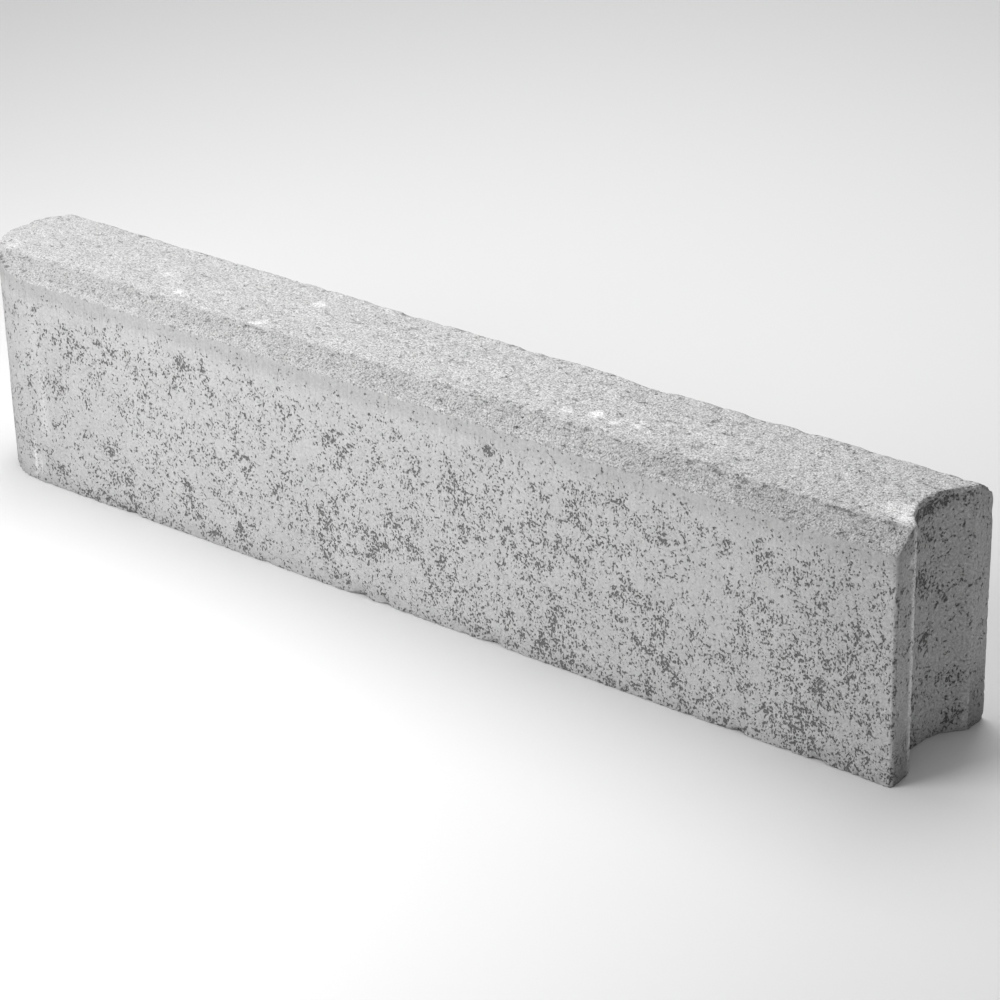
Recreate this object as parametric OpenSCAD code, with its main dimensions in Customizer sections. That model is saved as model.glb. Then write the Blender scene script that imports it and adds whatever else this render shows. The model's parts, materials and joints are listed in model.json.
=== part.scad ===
// Concrete kerb stone for edging a road, path or bed.
// A single cast bar with a bevel along both top edges. One end is a full half-round
// nose and the other has a shallow round socket between two flat lips, so that the
// stones of a row key into each other and can follow a gentle curve.
//
// Units are millimetres. +X runs along the stone from the nose to the socket,
// +Y points to one flank and +Z is up. The origin is on the bed, in the middle of
// the stone's overall length and width.

/* [Stone] */
// Length of the straight flanks, from the start of the nose to the faces of the lips
flank_len = 950; // [300:10:1500]
// Width across the two flanks
stone_w = 140; // [100:1:200]
// Height from the bed to the flat top
stone_h = 220; // [120:1:350]

/* [Top bevels] */
// How far each bevel reaches in across the top
bevel_run = 21; // [5:1:35]
// How far each bevel drops down its flank
bevel_drop = 15; // [5:1:40]

/* [Socket] */
// Width of the flat lip on each side of the socket
lip_w = 27; // [15:1:35]
// Depth of the socket behind the faces of the lips
socket_depth = 20; // [10:1:28]
// Rounding of the edge between a lip and the socket
lip_edge_r = 3; // [1:0.5:6]
// Rounding of the upright outer corner of a lip
lip_corner_r = 2; // [1:0.5:6]

/* [Colour] */
// Colour of the dry concrete
concrete = [0.70, 0.70, 0.69];

/* [Hidden] */
$fn = 96;

// Overlap that keeps neighbouring cutters from sharing a face with the stone
eps = 1;

// The nose is a half circle that runs smoothly into both flanks
nose_r = stone_w / 2;
overall_len = nose_r + flank_len;
x_nose = -overall_len / 2 + nose_r;
x_lip = overall_len / 2;

// The socket is the arc whose chord joins the two lips and whose rise is its depth
socket_half = stone_w / 2 - lip_w;
socket_r = (socket_half ^ 2 + socket_depth ^ 2) / (2 * socket_depth);
x_socket = x_lip - socket_depth + socket_r;

// Centre of the rounding that touches both the lip's face and the socket's arc
x_lip_edge = x_lip - lip_edge_r;
y_lip_edge = sqrt((socket_r + lip_edge_r) ^ 2 - (x_socket - x_lip_edge) ^ 2);

// Half circle of the nose, closed a little way inside the straight part
module nose_plan() {
    intersection() {
        translate([x_nose, 0])
            circle(r = nose_r);
        translate([x_nose - nose_r - eps, -nose_r - eps])
            square([nose_r + 2 * eps, 2 * nose_r + 2 * eps]);
    }
}

// What comes off the sharp edge between one lip and the socket
module lip_edge_waste() {
    difference() {
        polygon([[x_lip_edge, y_lip_edge], [x_lip, y_lip_edge], [x_socket, 0]]);
        translate([x_lip_edge, y_lip_edge])
            circle(r = lip_edge_r);
    }
}

// What comes off one upright outer corner of the lips
module lip_corner_waste() {
    translate([x_lip - lip_corner_r, stone_w / 2 - lip_corner_r])
        difference() {
            square(lip_corner_r + eps);
            circle(r = lip_corner_r);
        }
}

// Outline seen from above
module plan() {
    difference() {
        union() {
            nose_plan();
            translate([x_nose, -stone_w / 2])
                square([flank_len, stone_w]);
        }
        translate([x_socket, 0])
            circle(r = socket_r);
        for (side = [0, 1])
            mirror([0, side]) {
                lip_edge_waste();
                lip_corner_waste();
            }
    }
}

// Outline of a cut across the stone: X is across the stone here and Y is up
module cross_section() {
    half_w = stone_w / 2;
    polygon([
        [-half_w, 0],
        [half_w, 0],
        [half_w, stone_h - bevel_drop],
        [half_w - bevel_run, stone_h],
        [-half_w + bevel_run, stone_h],
        [-half_w, stone_h - bevel_drop]
    ]);
}

// The stone is where its upright outline and its lengthwise profile overlap
module kerb_stone() {
    color(concrete)
        intersection() {
            translate([0, 0, -eps])
                linear_extrude(stone_h + 2 * eps)
                    plan();
            translate([-overall_len / 2 - eps, 0, 0])
                rotate([90, 0, 90])
                    linear_extrude(overall_len + 2 * eps)
                        cross_section();
        }
}

kerb_stone();
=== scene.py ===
"""A concrete kerb stone, cast in one piece, on a pale studio floor.

The CAD node is copied, remeshed finely, given its relief and shown in its place. The relief and the
concrete's colour are drawn by the same pattern functions, once as geometry nodes that move the
vertices and once as shader nodes, so that every pore is dark where it is deep; that darkness is
partly dirt and partly painted shade.
"""
import json
import math
from types import SimpleNamespace

import bmesh
import bpy
import numpy as np
from mathutils import Matrix, Vector


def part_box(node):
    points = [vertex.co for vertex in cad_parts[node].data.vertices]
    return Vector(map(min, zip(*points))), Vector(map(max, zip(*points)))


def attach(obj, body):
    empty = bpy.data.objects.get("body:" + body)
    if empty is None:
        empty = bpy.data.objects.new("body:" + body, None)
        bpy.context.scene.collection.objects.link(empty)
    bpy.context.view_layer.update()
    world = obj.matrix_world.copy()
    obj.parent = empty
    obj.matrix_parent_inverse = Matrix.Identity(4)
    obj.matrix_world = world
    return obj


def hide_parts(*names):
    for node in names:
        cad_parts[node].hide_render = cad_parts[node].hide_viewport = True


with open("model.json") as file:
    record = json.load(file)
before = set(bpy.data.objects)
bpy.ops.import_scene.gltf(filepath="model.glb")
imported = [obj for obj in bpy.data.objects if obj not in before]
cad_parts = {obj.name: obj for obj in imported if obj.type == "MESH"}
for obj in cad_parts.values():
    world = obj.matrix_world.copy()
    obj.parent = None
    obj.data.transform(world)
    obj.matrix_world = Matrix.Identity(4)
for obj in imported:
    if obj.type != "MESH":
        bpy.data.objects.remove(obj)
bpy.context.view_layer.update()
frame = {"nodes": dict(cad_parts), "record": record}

NODE = "kerb_stone"
MM = 0.001

# Mesh
WELD = 0.01 * MM
VOXEL = 2.0 * MM
MOST_TRIANGLES = 196000

# Camera: where it stands round the stone, and the point of the stone that it looks at
VIEW_AZIMUTH, VIEW_ELEVATION, VIEW_ROLL = 39.25, 25.94, -1.39
VIEW_DISTANCE = 2.9205
VIEW_AIM = Vector((0.0471, 0.0215, 0.0830))
VIEW_LENS = 120.9
SENSOR_WIDTH = 36
VIEW_FAR = 50

# Studio: each light's name, position, aim, size and power in watts; then the world and the floor
LIGHTS = [
    ("key", (-0.43, -1.1, 0.8), (-0.1, 0, 0.1), 1.0, 17.7),
    ("overhead", (-0.3, 0.5, 1.9), (-0.1, 0, 0.1), 1.5, 24.5),
    ("backdrop", (-1.2, 2.2, 2.2), (-1.0, 1.6, 0), 2.0, 15),
]
WORLD_STRENGTH = 0.26
FLOOR_SIZE, FLOOR_GREY, FLOOR_ROUGHNESS = 20.0, 0.80, 0.95

# Albedo of the smooth cement skin on the sides, and of the open sandy texture
SKIN_GREY, BEVEL_GREY, TOP_GREY = 0.455, 0.34, 0.47
STONE_ROUGHNESS, STONE_SPECULAR = 0.88, 0.3

# The pore pattern: how much of it there is, and the size and share of each of its layers
PORE_AMOUNT = -0.042
PORE_STRETCH = (1.0, 1.0, 0.8)
FINE_PORES, FINE_SHARE = 2.05 * MM, 1.5
MIDDLE_PORES, MIDDLE_SHARE = 5.5 * MM, 1.0
CROWDED_PORES, CROWDED_SHARE = 16 * MM, 0.68
WIDE_PORES, WIDE_SHARE = 40 * MM, 0.18
PINHOLE_CELL, PINHOLE_SHARE = 4.6 * MM, 0.18
DENSE_SHARE, SCAR_SHARE = 0.16, 0.25
MORE_NEAR_SOCKET, LESS_NEAR_NOSE, MORE_AT_FOOT, LESS_ON_END = 0.003, -0.062, 0.03, -0.12

# Relief: how deep each kind goes
PORE_DEPTH = 0.9 * MM
SAND_DEPTH = 2.6 * MM
TORN_DEPTH = 1.0 * MM
LUMP_DEPTH = 1.6 * MM
WAVE_DEPTH = 0.7 * MM
CHIP_DEPTH = 3.0 * MM
BOTTOM_NICKS = (0.1 * MM, 3.2 * MM)
TOP_NICKS = (0.2 * MM, 2.2 * MM)
CORNER_NICKS = (0.1 * MM, 3.0 * MM)

# The painted highlight along each lip's inner edge: how far it reaches, and the rear lip's share of
# it
LIP_HIGHLIGHT_REACH, REAR_LIP_HIGHLIGHT = 6 * MM, 0.2

# Tone: what multiplies the albedo where each kind of mark, painted shade or painted highlight is
# strongest
# Pores: the deep ones darker partly for dirt and partly as painted shade in the hollow, with a halo
# of painted shade round them
DEEP_PORE_DIRT_AND_SHADE, PORE_HALO_SHADE = 0.37, 0.86
BAND_NEAR_NOSE, BAND_NEAR_SOCKET = 0.86, 0.91
FLANK_FOOT, NOSE_FACE, NOSE_THIRD = 0.90, 0.92, 0.977
# A painted highlight on each lip's inner edge
# Painted shade on the socket wall behind the front lip
BEHIND_LIP_SHADE, LIP_EDGE_HIGHLIGHT = 0.84, 1.65
CRUMBLY_SKIN = 0.88
# The bevel's factor towards the socket end is painted shade
DARK_GRAINS, TORN_SPOTS, BEVEL_END_SHADE = 0.78, 0.66, 0.93
# Painted shade under the socket's rim
UNDER_RIM_SHADE, GOUGES = 0.72, 0.6
LIP_FOOT_SHADE = 0.44

# Tone: how strongly each pattern lightens and darkens the albedo
STREAKS_NEAR_TOP, STREAKS_BELOW = 0.14, 0.07
SKIN_CLOUDS, SAND_CLOUDS = 0.08, 0.12
SPECKS_ON_FLANK, SPECKS_ON_END = 0.22, 0.50
CRUMBLY_GRAINS, SAND_GRAINS = 0.10, 0.16
GRIT_AT_NOSE, GRIT_AT_SOCKET = 0.65, 0.90
LIME_RUN, LIME_BLOOM, PALE_CRUMBS = 0.3, 0.22, 0.06

# Bump: the height of each fine pattern
DEEP_BUMP, HALO_BUMP = -1.4 * MM, -0.3 * MM
STREAK_BUMP, SPECK_BUMP, CRUMBLY_BUMP = 0.12 * MM, 0.28 * MM, 1.0 * MM
SAND_BUMP, GRIT_BUMP, TORN_BUMP = 1.4 * MM, 1.0 * MM, -1.0 * MM

# Patches on the front flank where the pores crowd together, or keep away where the strength is
# negative: x, z, radius and strength, in mm
DENSE_PORES = [
    (-423, 158, 10, 0.6), (-400, 108, 14, 0.6), (-413, 22, 12, 0.6), (-335, 165, 15, 0.8),
    (-323, 12, 24, 0.5), (-333, 62, 9, 0.7), (-285, 187, 7, 0.8), (-243, 38, 11, 0.7),
    (-237, 173, 14, 1.2), (-213, 172, 8, 1.0), (-217, 15, 12, 0.9), (-170, 192, 9, 1.2),
    (-157, 172, 7, 0.9), (-175, 12, 22, 0.4), (-107, 138, 7, 0.9), (-110, 92, 13, 0.6),
    (-57, 138, 8, 0.7), (-73, 62, 18, 0.6), (-17, 55, 14, 1.1), (7, 82, 10, 0.9),
    (20, 112, 14, 0.6), (55, 53, 22, 0.6), (78, 116, 14, 0.8), (107, 23, 8, 0.9),
    (110, 183, 6, 2.6), (175, 116, 12, 0.8), (175, 19, 22, 0.7), (215, 66, 12, 1.0),
    (242, 171, 9, 0.6), (248, 89, 8, 0.8), (292, 158, 16, 0.7), (292, 39, 16, 0.5),
    (350, 159, 7, 0.9), (382, 129, 8, 0.9), (405, 109, 12, 0.6), (435, 66, 14, 0.7),
    (458, 103, 14, 0.6), (418, 29, 20, 0.5), (322, 142, 44, -0.7),
]

# The same on the wall of the socket: y, z, radius and strength, in mm
SOCKET_PORES = [
    (-19, 183, 8, 2.4), (-12, 150, 10, 2.2), (2, 141, 10, 1.6), (-18, 121, 7, 2.0), (6, 95, 7, 2.0),
    (-19, 72, 8, 2.4), (-12, 46, 9, 2.2), (-16, 10, 13, 2.8), (30, 53, 9, 1.6), (-24, 208, 9, 3.2),
    (-10, 212, 8, 3.0), (6, 211, 8, 2.6), (23, 213, 7, 2.2), (40, 214, 7, 2.0), (5, 186, 12, 1.2),
    (35, 20, 10, 1.4), (24, 122, 12, 0.9), (-4, 84, 10, 0.8),
]

# Torn, dark places along the edges: x, y, z, radius and strength, in mm
SCARS = [
    (-478, -57, 214, 4, 1.5), (-471, -61, 212, 3, 1.6), (-464, -64, 210, 3, 1.7),
    (-458, -66, 209, 2, 1.6), (-453, -68, 208, 3, 1.5), (-447, -69, 207, 2, 1.4),
    (-441, -70, 206, 2, 1.2), (-445, -52, 218, 4, 0.5), (-436, -50, 219, 4, 0.5),
    (180, -50, 220, 5, 0.5), (232, -51, 220, 5, 0.4), (262, -49, 220, 5, 0.5),
    (300, -50, 220, 7, 0.6), (322, -49, 220, 6, 0.6), (350, -51, 220, 5, 0.4),
    (408, -50, 220, 5, 0.3), (462, -50, 220, 7, 0.6), (478, -46, 220, 5, 0.4),
    (492, -68, 206, 6, 0.6),
]

# Pale lime blooms on the top: x, y, radius and strength, in mm
LIME_BLOOMS = [
    (-477, -42, 8, 0.6), (-460, 0, 5, 0.5), (-313, -7, 7, 0.8), (-293, -5, 5, 0.5),
    (-275, -32, 5, 1.0), (-260, 22, 5, 0.5), (-170, -45, 7, 1.0), (-168, -33, 6, 0.8),
    (-152, 18, 10, 1.0), (133, -23, 7, 0.6), (163, -31, 7, 0.9), (188, -25, 9, 1.0),
    (207, -27, 6, 0.9), (230, -22, 8, 0.8), (248, -7, 7, 0.7), (277, -8, 9, 0.6),
    (473, -31, 18, 0.75), (497, -40, 9, 0.9), (491, -20, 11, 0.7), (498, -4, 5, 0.5),
    (484, 42, 8, 0.5), (-488, -32, 13, 0.42), (-500, -12, 10, 0.5), (-407, -50, 6, 0.4),
]

# Pale upright runs of lime on the front flank: x, z, half width and half height in mm, strength
LIME_RUNS = [
    (-424, 80, 5, 34, 0.30), (-441, 22, 2.0, 18, 0.9), (-434, 20, 2.5, 10, 0.5),
    (-430, 150, 6, 30, 0.15), (339, 31, 3, 12, 0.35), (330, 12, 3, 8, 0.3),
]

# Worn hollows and places broken out of the rims: x, y, z, radius and depth, in mm
HOLLOWS = [
    (185, 49, 220, 26, 1.6), (298, 49, 220, 9, 2.0), (-60, 49, 220, 14, 0.5),
    (-490, -38, 220, 10, 1.0), (-505, 8, 220, 5, 1.5), (337, -40, 220, 10, 1.2),
    (322, 22, 220, 4, 1.4), (510, -45, 0, 5, 0.6), (510, 68, 0, 5, 1.2),
    (112, -70, 0, 8, 3.5), (-38, -70, 0, 9, 3.5),
    (-10, -70, 0, 6, 3.0), (-313, -70, 0, 5, 2.5), (362, -70, 0, 6, 3.0),
    (440, -70, 0, 7, 3.0), (493, -70, 168, 6, 1.6), (510, 70, 188, 6, 0.9), (510, 70, 208, 6, 2.0),
]


def stone_sizes():
    """The stone's sizes, read from the frame's box, mesh and mounts."""
    low, high = (np.array(corner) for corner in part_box(NODE))
    points = np.empty(len(frame["nodes"][NODE].data.vertices) * 3)
    frame["nodes"][NODE].data.vertices.foreach_get("co", points)
    points = points.reshape(-1, 3)
    mounts = {m["name"]: m for m in frame["record"]["mounts"]}
    near, exact = 0.1 * MM, 0.01 * MM
    half = (high[1] - low[1]) / 2
    height = high[2]
    side = points[np.abs(points[:, 1]) > half - near]
    top = points[points[:, 2] > height - near]
    hollow = points[(points[:, 0] > 0) & (np.abs(points[:, 1]) < half / 3)]
    lips = points[points[:, 0] > high[0] - exact]
    socket_r = mounts["socket"]["dims"]["r_mm"] * MM
    return SimpleNamespace(
        half=half,
        height=height,
        drop=height - side[:, 2].max(),
        run=half - np.abs(top[:, 1]).max(),
        nose_x=low[0] + mounts["nose"]["dims"]["r_mm"] * MM,
        lip_x=high[0],
        lip_y=np.abs(lips[:, 1]).min(),
        socket_r=socket_r,
        socket_x=hollow[:, 0].min() + socket_r,
        low=low,
        high=high,
    )


SIZES = stone_sizes()


class Pattern:
    """Adds nodes to a geometry or shader tree, so that one description draws in both."""

    def __init__(self, tree):
        self.tree = tree
        self.is_shader = tree.type == "SHADER"

    def node(self, kind, inputs=(), **settings):
        made = self.tree.nodes.new(kind)
        for name, value in settings.items():
            setattr(made, name, value)
        for name, value in dict(inputs).items():
            self.feed(made.inputs[name], value)
        return made

    def feed(self, socket, value):
        if isinstance(value, bpy.types.NodeSocket):
            self.tree.links.new(value, socket)
        else:
            socket.default_value = value

    def attribute(self, name, vector=False):
        if self.is_shader:
            made = self.node("ShaderNodeAttribute", attribute_name=name)
            return made.outputs["Vector" if vector else "Fac"]
        kind = "FLOAT_VECTOR" if vector else "FLOAT"
        made = self.node("GeometryNodeInputNamedAttribute", {"Name": name}, data_type=kind)
        return next(out for out in made.outputs if out.enabled)

    def math(self, operation, *values):
        return self.node("ShaderNodeMath", enumerate(values), operation=operation).outputs[0]

    def add(self, *values):
        total = values[0]
        for value in values[1:]:
            total = self.math("ADD", total, value)
        return total

    def times(self, *values):
        product = values[0]
        for value in values[1:]:
            product = self.math("MULTIPLY", product, value)
        return product

    def one_minus(self, value):
        return self.math("SUBTRACT", 1.0, value)

    def swing(self, value, amount, middle=0.5):
        """How far value lies above its middle, times amount."""
        return self.times(self.add(value, -middle), amount)

    def over(self, value, limit):
        """How far value lies above limit, or 0."""
        return self.math("MAXIMUM", self.math("SUBTRACT", value, limit), 0.0)

    def factor(self, mask, strongest):
        """1 where the mask is 0, and this factor where it is 1."""
        return self.ramp(mask, 0.0, 1.0, 1.0, strongest)

    def scaled(self, vector, factors):
        made = self.node("ShaderNodeVectorMath", operation="MULTIPLY")
        self.feed(made.inputs[0], vector)
        self.feed(made.inputs[1], factors)
        return made.outputs[0]

    def part(self, vector, axis):
        return self.node("ShaderNodeSeparateXYZ", {0: vector}).outputs[axis]

    def ramp(self, value, start, end, low=0.0, high=1.0):
        """Smooth step from low to high as value goes from start to end."""
        inputs = {"Value": value, "From Min": start, "From Max": end, "To Min": low, "To Max": high}
        made = self.node("ShaderNodeMapRange", inputs, interpolation_type="SMOOTHSTEP")
        return made.outputs[0]

    def noise(self, vector, size, detail=2.0, roughness=0.5):
        """Noise from 0 to 1 whose coarsest lumps are about size metres across."""
        inputs = {"Vector": vector, "Scale": 1 / size, "Detail": detail, "Roughness": roughness}
        return self.node("ShaderNodeTexNoise", inputs).outputs[0]

    def cells(self, vector, size, feature="F1", output="Distance"):
        """Voronoi cells about size metres across."""
        inputs = {"Vector": vector, "Scale": 1 / size}
        return self.node("ShaderNodeTexVoronoi", inputs, feature=feature).outputs[output]


def zones(p):
    """Where a point lies on the stone: its coordinates and the masks of the kinds of surface."""
    rest = p.attribute("rest", vector=True)
    roof = p.attribute("roof")
    wall = p.attribute("wall")
    z = p.part(rest, "Z")
    wobble = p.swing(p.noise(rest, 9 * MM, 4.0, 0.7), 9 * MM)
    end = p.ramp(p.attribute("end"), 1 * MM, 5 * MM)
    skin = p.ramp(p.add(roof, wobble, p.times(end, -3 * MM)), 1.4 * MM, 2.4 * MM)
    bed = p.times(p.ramp(z, 1.2 * MM, 0.3 * MM), p.ramp(wall, 0.5 * MM, 2.0 * MM))
    return SimpleNamespace(
        rest=rest,
        roof=roof,
        wall=wall,
        z=z,
        x=p.part(rest, "X"),
        skin=p.times(skin, p.one_minus(bed)),
        open=p.times(p.one_minus(skin), p.one_minus(bed)),
        rim=p.math("SQRT", p.add(p.times(wall, wall), p.times(z, z))),
        end=end,
        flat=p.attribute("flat"),
        dense=p.attribute("dense"),
        scar=p.attribute("scar"),
    )


def pores(p, at):
    """How far pores break the cement skin: about -0.5 where smooth, 0.5 in the deepest pores."""
    fine = p.noise(p.scaled(at.rest, PORE_STRETCH), FINE_PORES, 1.6, 0.6)
    holes = p.times(pinholes(p, at), PINHOLE_SHARE)
    return p.add(p.swing(fine, FINE_SHARE), holes, clusters(p, at))


def clusters(p, at):
    """The part of the pores that is coarse enough for the mesh: where they crowd together."""
    middle = p.noise(p.scaled(at.rest, PORE_STRETCH), MIDDLE_PORES, 2.0, 0.75)
    crowd = p.noise(at.rest, CROWDED_PORES, 3.0, 0.6)
    wide = p.noise(at.rest, WIDE_PORES, 2.0, 0.55)
    under_bevel = p.ramp(at.roof, 4 * MM, 40 * MM, -0.18, -0.02)
    return p.add(
        PORE_AMOUNT,
        p.swing(middle, MIDDLE_SHARE),
        p.swing(crowd, CROWDED_SHARE),
        p.swing(wide, WIDE_SHARE),
        p.times(at.dense, DENSE_SHARE),
        p.times(at.scar, SCAR_SHARE),
        p.times(under_bevel, p.one_minus(at.end)),
        p.ramp(at.x, -0.5, 0.48, LESS_NEAR_NOSE, MORE_NEAR_SOCKET),
        p.ramp(at.z, 2 * MM, 25 * MM, MORE_AT_FOOT, 0.0),
        p.times(at.end, LESS_ON_END),
    )


def pinholes(p, at):
    """1 in scattered round holes of up to about 2 mm, 0 elsewhere."""
    nearest = p.cells(at.rest, PINHOLE_CELL)
    size = p.part(p.cells(at.rest, PINHOLE_CELL, output="Color"), "X")
    edge = p.ramp(size, 0.45, 1.0, -0.1, 0.28)
    return p.ramp(p.add(nearest, p.times(edge, -1.0)), -0.05, 0.05, 1.0, 0.0)


def sand(p, at):
    """Height, from 0 to 1, of the open sandy texture where no mould touched the concrete."""
    grains = p.cells(at.rest, 2.3 * MM, "SMOOTH_F1")
    coarse = p.noise(at.rest, 6.0 * MM, 5.0, 0.75)
    return p.add(p.times(p.one_minus(grains), 0.35), p.times(coarse, 0.75))


def pits(p, at):
    """0 to 1: dark torn spots in the open texture, thickest along the upper edge of the bevel."""
    torn = p.noise(p.scaled(at.rest, (0.6, 1.0, 1.0)), 6 * MM, 3.0, 0.7)
    along_edge = p.ramp(p.math("ABSOLUTE", at.flat), 1 * MM, 8 * MM, 0.06, 0.0)
    scars = p.times(at.scar, 0.13)
    on_top = p.ramp(at.flat, 2 * MM, 8 * MM, 0.0, 0.02)
    near_nose = p.ramp(at.x, -0.5, 0.3, -0.03, 0.0)
    return p.ramp(p.add(torn, along_edge, scars, on_top, near_nose), 0.60, 0.70)


def relief_depth(p):
    """How far each point of the surface lies inside the CAD shape, in metres."""
    at = zones(p)
    pore = p.times(p.ramp(clusters(p, at), -0.08, 0.25), at.skin, PORE_DEPTH)
    rough = p.over(0.62, sand(p, at))
    torn = p.add(p.times(rough, SAND_DEPTH), p.times(pits(p, at), TORN_DEPTH))
    lumps = p.ramp(p.noise(at.rest, 22 * MM, 2.0), 0.40, 0.75, 0.0, LUMP_DEPTH)
    sandy = p.times(p.add(torn, lumps), at.open, p.ramp(at.wall, 0.0, 7 * MM, 0.12, 1.0))
    waves = p.ramp(p.noise(at.rest, 70 * MM, 2.0), 0.35, 0.75, 0.0, WAVE_DEPTH)
    nicks = p.noise(at.rest, 14 * MM, 3.0, 0.6)
    at_bottom = p.over(p.ramp(nicks, 0.45, 0.75, *BOTTOM_NICKS), at.rim)
    ragged = p.times(at_bottom, p.ramp(at.x, 0.48, 0.50, 0.75, 0.3))
    rim_top = p.math("SQRT", p.add(p.times(at.wall, at.wall), p.times(at.roof, at.roof)))
    feather = p.math("SUBTRACT", p.ramp(nicks, 0.5, 0.8, *TOP_NICKS), rim_top)
    chips = p.ramp(p.noise(at.rest, 6 * MM, 3.0, 0.7), 0.38, 0.68, 0.0, CHIP_DEPTH)
    feather = p.math("MAXIMUM", feather, p.times(p.math("SUBTRACT", chips, rim_top), at.end))
    worn = p.times(p.math("MAXIMUM", feather, 0.0), p.ramp(at.end, 0.0, 1.0, 0.7, 1.0))
    at_corner = p.over(p.ramp(nicks, 0.45, 0.75, *CORNER_NICKS), p.attribute("corner"))
    broken = p.times(at_corner, p.ramp(at.z, 0.0, 30 * MM, 0.3, 0.7))
    return p.add(pore, sandy, waves, ragged, worn, broken, p.attribute("hollow"))


def set_float(mesh, name, values):
    layer = mesh.attributes.new(name, "FLOAT", "POINT")
    layer.data.foreach_set("value", np.ascontiguousarray(values, dtype=np.float32))


def blobs(points, table, axes):
    """Sum of soft round blobs: each row has a centre on these axes, a radius and a strength."""
    total = np.zeros(len(points))
    for *centre, radius, strength in table:
        away = points[:, axes] - np.array(centre) * MM
        total += strength * np.exp(-(away**2).sum(1) / (radius * MM) ** 2)
    return total


def runs(x, z):
    """Sum of soft upright stripes of lime."""
    total = np.zeros(len(x))
    for at_x, at_z, half_width, half_height, strength in LIME_RUNS:
        aside = (x - at_x * MM) / (half_width * MM)
        above = (z - at_z * MM) / (half_height * MM)
        total += strength * np.exp(-(aside**2) - above**4)
    return total


def mark_surface(mesh):
    """Stores on each vertex what the patterns need to know about its place on the stone."""
    s = SIZES
    rest = np.empty(len(mesh.vertices) * 3, dtype=np.float32)
    mesh.vertices.foreach_get("co", rest)
    layer = mesh.attributes.new("rest", "FLOAT_VECTOR", "POINT")
    layer.data.foreach_set("vector", rest)
    points = rest.reshape(-1, 3).astype(float)
    x, y, z = points.T
    across = np.abs(y)
    nose = s.half - np.hypot(x - s.nose_x, y)
    side = np.where(x < s.nose_x, nose, s.half - across)
    socket = np.hypot(x - s.socket_x, y) - s.socket_r
    wall = np.minimum(side, np.minimum(s.lip_x - x, socket))
    roof = np.minimum(s.height, s.height - s.drop + (s.half - across) * s.drop / s.run) - z
    outer = np.hypot(x - s.lip_x, across - s.half)
    inner = np.hypot(x - s.lip_x, across - s.lip_y)
    set_float(mesh, "wall", np.maximum(wall, 0))
    set_float(mesh, "end", side - np.minimum(s.lip_x - x, socket))
    set_float(mesh, "flat", s.half - across - s.run)
    # A painted highlight along each lip's inner edge, fullest on the front lip
    near_edge = np.clip(1 - inner / LIP_HIGHLIGHT_REACH, 0, 1)
    set_float(mesh, "lip_highlight", near_edge * np.where(y < 0, 1, REAR_LIP_HIGHLIGHT))
    set_float(mesh, "roof", np.maximum(roof, 0))
    set_float(mesh, "corner", np.minimum(outer, inner))
    front = y < -s.half / 2
    crowded = blobs(points, DENSE_PORES, [0, 2]) * front
    in_socket = (x > 0) & (across < s.lip_y)
    set_float(mesh, "dense", np.where(in_socket, blobs(points, SOCKET_PORES, [1, 2]), crowded))
    set_float(mesh, "scar", blobs(points, SCARS, [0, 1, 2]))
    set_float(mesh, "lime", blobs(points, LIME_BLOOMS, [0, 1]) * (z > s.height / 2))
    set_float(mesh, "runs", runs(x, z) * (y < 0))
    set_float(mesh, "hollow", blobs(points, HOLLOWS, [0, 1, 2]) * MM)


def relief_nodes():
    """Geometry nodes that press the relief into the surface."""
    tree = bpy.data.node_groups.new("relief", "GeometryNodeTree")
    tree.interface.new_socket("Geometry", in_out="INPUT", socket_type="NodeSocketGeometry")
    tree.interface.new_socket("Geometry", in_out="OUTPUT", socket_type="NodeSocketGeometry")
    p = Pattern(tree)
    inside = p.node("ShaderNodeVectorMath", operation="SCALE")
    p.feed(inside.inputs[0], p.node("GeometryNodeInputNormal").outputs[0])
    p.feed(inside.inputs["Scale"], p.times(relief_depth(p), -1.0))
    start = p.node("NodeGroupInput").outputs[0]
    moved = p.node("GeometryNodeSetPosition", {"Geometry": start, "Offset": inside.outputs[0]})
    p.feed(p.node("NodeGroupOutput").inputs[0], moved.outputs[0])
    return tree


def with_modifiers(obj):
    """Replaces the object's mesh with what its modifiers make of it, and removes them."""
    seen = obj.evaluated_get(bpy.context.evaluated_depsgraph_get())
    mesh = bpy.data.meshes.new_from_object(seen)
    obj.modifiers.clear()
    obj.data = mesh


def make_stone():
    """The stone as a fine closed mesh with its relief, inside the CAD box."""
    work = bmesh.new()
    work.from_mesh(frame["nodes"][NODE].data)
    bmesh.ops.remove_doubles(work, verts=work.verts, dist=WELD)
    mesh = bpy.data.meshes.new("cast_stone")
    work.to_mesh(mesh)
    work.free()
    stone = bpy.data.objects.new("cast_stone", mesh)
    bpy.context.scene.collection.objects.link(stone)
    remesh = stone.modifiers.new("remesh", "REMESH")
    remesh.mode = "VOXEL"
    remesh.voxel_size = VOXEL
    with_modifiers(stone)
    mark_surface(stone.data)
    stone.modifiers.new("relief", "NODES").node_group = relief_nodes()
    with_modifiers(stone)
    triangles = sum(len(face.vertices) - 2 for face in stone.data.polygons)
    if triangles > MOST_TRIANGLES:
        thin = stone.modifiers.new("thin", "DECIMATE")
        thin.ratio = MOST_TRIANGLES / triangles
        with_modifiers(stone)
    keep_in_box(stone.data)
    stone.data.polygons.foreach_set("use_smooth", [True] * len(stone.data.polygons))
    stone.data.materials.clear()
    stone.data.materials.append(concrete())
    return stone


def keep_in_box(mesh):
    """Moves any vertex that the remeshing left outside the CAD box back onto it."""
    points = np.empty(len(mesh.vertices) * 3, dtype=np.float32)
    mesh.vertices.foreach_get("co", points)
    inside = np.clip(points.reshape(-1, 3), SIZES.low, SIZES.high)
    mesh.vertices.foreach_set("co", inside.astype(np.float32).ravel())
    mesh.update()


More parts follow.
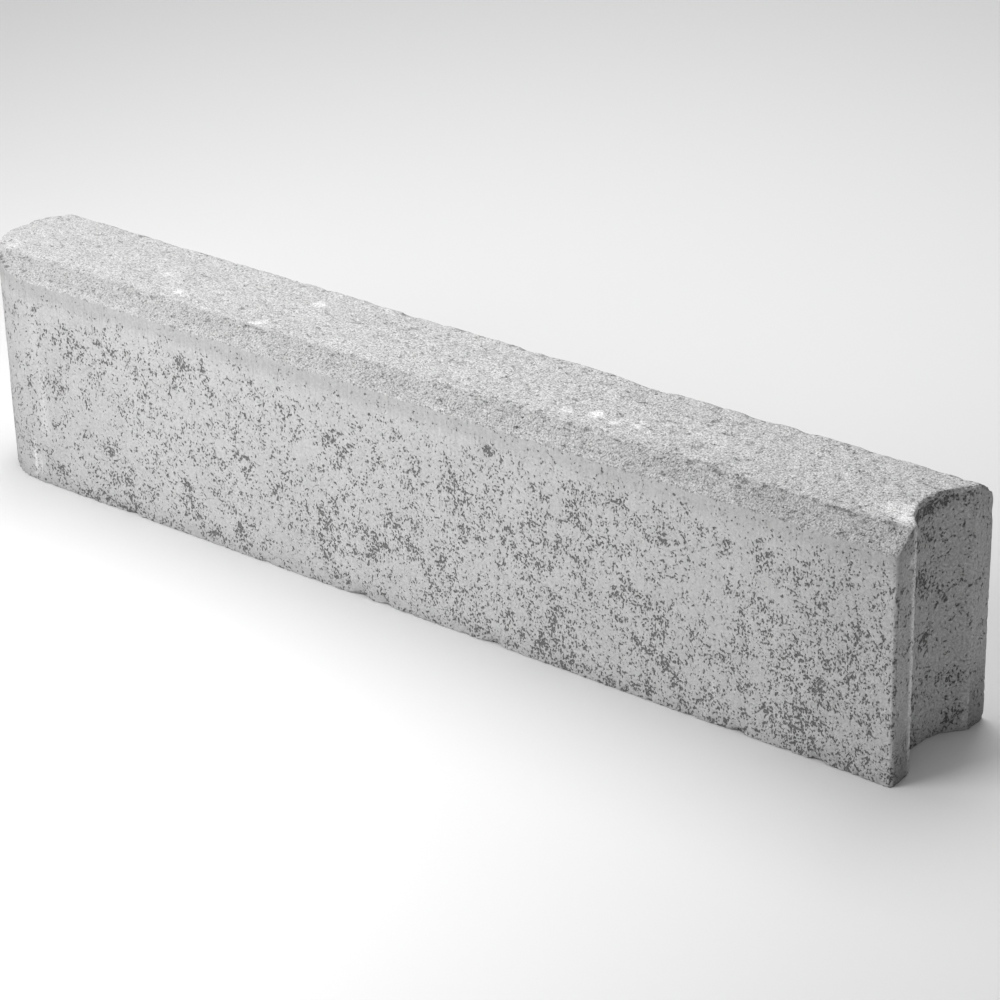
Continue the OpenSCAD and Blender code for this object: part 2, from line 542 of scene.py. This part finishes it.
def look_patterns(p, at):
    """The patterns that both tone and bump draw on."""
    broken = pores(p, at)
    across = p.math("ABSOLUTE", p.part(at.rest, "Y"))
    on_lip = p.ramp(across, SIZES.lip_y - 1 * MM, SIZES.lip_y + 1 * MM)
    return SimpleNamespace(
        deep=p.ramp(broken, 0.07, 0.25),
        halo=p.ramp(broken, -0.06, 0.14),
        height=sand(p, at),
        torn=pits(p, at),
        streaks=p.noise(p.scaled(at.rest, (1.0, 1.0, 0.04)), 2.4 * MM, 2.0, 0.6),
        clouds=p.noise(at.rest, 40 * MM, 3.0, 0.6),
        speck=p.noise(at.rest, 2.1 * MM, 1.0, 0.7),
        grit=p.noise(at.rest, 1.5 * MM, 1.0, 0.7),
        crumbs=p.noise(at.rest, 9 * MM, 2.0, 0.6),
        crumbly=p.times(p.one_minus(at.end), p.ramp(at.x, 0.38, 0.48)),
        on_lip=on_lip,
        in_socket=p.times(at.end, p.one_minus(on_lip)),
    )


def skin_tone(p, at, look):
    """Albedo of the smooth cement skin on the flanks, the lips and the wall of the socket, with
    painted shade behind the front lip and at the lips' feet, and a painted highlight on the lips'
    inner edges.
    """
    grains = p.ramp(look.height, 0.35, 0.65)
    tone = p.add(
        SKIN_GREY,
        p.swing(look.streaks, p.ramp(at.roof, 10 * MM, 35 * MM, STREAKS_NEAR_TOP, STREAKS_BELOW)),
        p.swing(look.clouds, SKIN_CLOUDS),
        p.swing(look.speck, p.ramp(at.end, 0.0, 1.0, SPECKS_ON_FLANK, SPECKS_ON_END)),
        p.times(p.swing(grains, look.crumbly), CRUMBLY_GRAINS),
    )
    streaky = p.add(at.roof, p.swing(look.streaks, 14 * MM))
    darkest = p.ramp(at.x, -0.05, 0.25, BAND_NEAR_NOSE, BAND_NEAR_SOCKET)
    band = p.ramp(streaky, 10 * MM, 22 * MM, darkest, 1.0)
    nose_face = p.ramp(at.x, -0.5, -0.25, NOSE_FACE, 1.0)
    foot = p.times(p.ramp(at.z, 1 * MM, 22 * MM, FLANK_FOOT, 1.0), nose_face)
    near_bed = p.times(at.end, p.ramp(at.z, 0.0, 90 * MM, 1.0, 0.0))
    lip_foot = p.one_minus(p.times(near_bed, p.ramp(look.on_lip, 0.0, 1.0, 0.0, LIP_FOOT_SHADE)))
    y = p.part(at.rest, "Y")
    # Painted shade on the socket wall just behind the front lip
    behind_lip_shade = p.ramp(y, -SIZES.lip_y, 20 * MM - SIZES.lip_y, BEHIND_LIP_SHADE, 1.0)
    shade = p.times(lip_foot, p.factor(look.in_socket, behind_lip_shade))
    nose_third = p.ramp(at.x, -0.10, 0.02, NOSE_THIRD, 1.0)
    # Pores darkened partly for dirt and partly as painted shade, with a halo of painted shade round
    # them
    pore_dirt_and_shade = p.times(p.factor(look.deep, DEEP_PORE_DIRT_AND_SHADE), p.factor(look.halo, PORE_HALO_SHADE))
    # Painted highlight on the lips' inner edges
    lip_edge_highlight = p.ramp(p.attribute("lip_highlight"), 0.1, 0.7, 1.0, LIP_EDGE_HIGHLIGHT)
    crumbly = p.factor(look.crumbly, CRUMBLY_SKIN)
    tone = p.times(tone, band, foot, shade, nose_third, pore_dirt_and_shade, lip_edge_highlight, crumbly)
    run = p.times(p.attribute("runs"), p.ramp(look.streaks, 0.3, 0.6, 0.6, 1.0))
    return p.add(tone, p.times(run, LIME_RUN))


def sand_tone(p, at, look):
    """Albedo of the open sandy texture on the top and the bevels, with painted shade on the bevel
    towards the socket end.
    """
    low_edge = p.ramp(at.flat, -20 * MM, -15 * MM, PALE_CRUMBS, 0.0)
    grit_amount = p.ramp(at.x, -0.5, 0.2, GRIT_AT_NOSE, GRIT_AT_SOCKET)
    grit_on_top = p.ramp(at.flat, 0.0, 4 * MM, 1.0, 1.25)
    tone = p.add(
        p.ramp(at.flat, -2 * MM, 2 * MM, BEVEL_GREY, TOP_GREY),
        p.times(low_edge, p.ramp(look.crumbs, 0.42, 0.62)),
        p.swing(look.clouds, SAND_CLOUDS),
        p.times(p.swing(look.grit, grit_amount), grit_on_top),
        p.swing(p.ramp(look.height, 0.30, 0.62), SAND_GRAINS),
    )
    cloudy = p.times(p.add(look.clouds, look.speck, -1.0), 0.9)
    bloom = p.ramp(p.add(p.attribute("lime"), cloudy), 0.35, 0.9)
    dark_grains = p.ramp(look.grit, 0.38, 0.28, 1.0, DARK_GRAINS)
    tone = p.times(tone, dark_grains, p.factor(look.torn, TORN_SPOTS))
    # Painted shade: the bevel darker towards the socket end
    bevel_end_shade = p.times(p.ramp(at.flat, 0.0, -2 * MM), p.ramp(at.x, 0.25, 0.48))
    return p.add(p.times(tone, p.factor(bevel_end_shade, BEVEL_END_SHADE)), p.times(bloom, LIME_BLOOM))


def dark_edges(p, at, look):
    """Factors for the painted shade on the torn edge under the top of the socket and for the gouges
    along the rims.
    """
    # Painted shade on the socket wall just under its torn top edge
    ragged = p.add(at.roof, p.swing(look.crumbs, 22 * MM))
    thickness = p.ramp(ragged, 1 * MM, 7 * MM, 1.0, 0.0)
    under_rim_shade = p.times(look.in_socket, p.ramp(at.roof, 0.3 * MM, 1.3 * MM), thickness)
    gouge = p.ramp(p.add(at.scar, p.swing(look.grit, 3.0)), 0.9, 1.6, 1.0, GOUGES)
    return p.factor(under_rim_shade, UNDER_RIM_SHADE), gouge


def micro_height(p, at, look):
    """Height of the relief that is too fine for the mesh."""
    skin_height = p.add(
        p.times(look.deep, DEEP_BUMP),
        p.times(look.halo, HALO_BUMP),
        p.swing(look.streaks, STREAK_BUMP),
        p.swing(look.speck, SPECK_BUMP),
        p.times(p.swing(look.height, look.crumbly, 0.55), CRUMBLY_BUMP),
    )
    sand_height = p.add(
        p.swing(look.height, SAND_BUMP, 0.55),
        p.swing(look.grit, GRIT_BUMP),
        p.times(look.torn, TORN_BUMP),
    )
    return p.add(p.times(skin_height, at.skin), p.times(sand_height, p.one_minus(at.skin)))


def concrete():
    """Dry grey concrete: smooth cement skin with pores on the sides, open sand on top."""
    material = bpy.data.materials.new("concrete")
    material.use_nodes = True
    p = Pattern(material.node_tree)
    shader = material.node_tree.nodes["Principled BSDF"]
    at = zones(p)
    look = look_patterns(p, at)
    on_skin = p.times(skin_tone(p, at, look), at.skin)
    on_sand = p.times(sand_tone(p, at, look), p.one_minus(at.skin))
    tone = p.times(p.add(on_skin, on_sand), *dark_edges(p, at, look))
    color = p.node("ShaderNodeCombineXYZ", {0: tone, 1: tone, 2: tone}).outputs[0]
    p.feed(shader.inputs["Base Color"], color)
    shader.inputs["Roughness"].default_value = STONE_ROUGHNESS
    shader.inputs["Specular IOR Level"].default_value = STONE_SPECULAR
    micro = micro_height(p, at, look)
    bump = p.node("ShaderNodeBump", {"Height": micro, "Strength": 1.0, "Distance": 1.0})
    p.feed(shader.inputs["Normal"], bump.outputs[0])
    return material


def make_floor():
    material = bpy.data.materials.new("floor")
    material.use_nodes = True
    shader = material.node_tree.nodes["Principled BSDF"]
    shader.inputs["Base Color"].default_value = (FLOOR_GREY, FLOOR_GREY, FLOOR_GREY, 1.0)
    shader.inputs["Roughness"].default_value = FLOOR_ROUGHNESS
    bpy.ops.mesh.primitive_plane_add(size=FLOOR_SIZE, location=(0, 0, SIZES.low[2]))
    floor = bpy.context.object
    floor.name = "floor"
    floor.data.materials.append(material)


def area_light(name, position, aim, size, watts):
    data = bpy.data.lights.new(name, "AREA")
    data.size = size
    data.energy = watts
    lamp = bpy.data.objects.new(name, data)
    lamp.location = position
    lamp.rotation_euler = (Vector(aim) - Vector(position)).to_track_quat("-Z", "Y").to_euler()
    bpy.context.scene.collection.objects.link(lamp)


def make_lights():
    for light in LIGHTS:
        area_light(*light)
    world = bpy.data.worlds.new("studio")
    world.use_nodes = True
    background = world.node_tree.nodes["Background"]
    background.inputs["Color"].default_value = (1, 1, 1, 1)
    background.inputs["Strength"].default_value = WORLD_STRENGTH
    bpy.context.scene.world = world
    bpy.context.scene.view_settings.view_transform = "Standard"


def make_camera():
    azimuth, elevation = math.radians(VIEW_AZIMUTH), math.radians(VIEW_ELEVATION)
    roll = math.radians(VIEW_ROLL)
    back = Vector((
        math.sin(azimuth) * math.cos(elevation),
        -math.cos(azimuth) * math.cos(elevation),
        math.sin(elevation),
    ))
    level = Vector((math.cos(azimuth), math.sin(azimuth), 0))
    upward = back.cross(level)
    right = math.cos(roll) * level + math.sin(roll) * upward
    up = back.cross(right)
    data = bpy.data.cameras.new("camera")
    data.lens = VIEW_LENS
    data.sensor_width = SENSOR_WIDTH
    data.clip_end = VIEW_FAR
    camera = bpy.data.objects.new("camera", data)
    turn = Matrix((right, up, back)).transposed().to_4x4()
    camera.matrix_world = Matrix.Translation(VIEW_AIM + back * VIEW_DISTANCE) @ turn
    bpy.context.scene.collection.objects.link(camera)
    bpy.context.scene.camera = camera


make_camera()
make_lights()
make_floor()
stone = make_stone()
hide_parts(NODE)
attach(stone, "root")
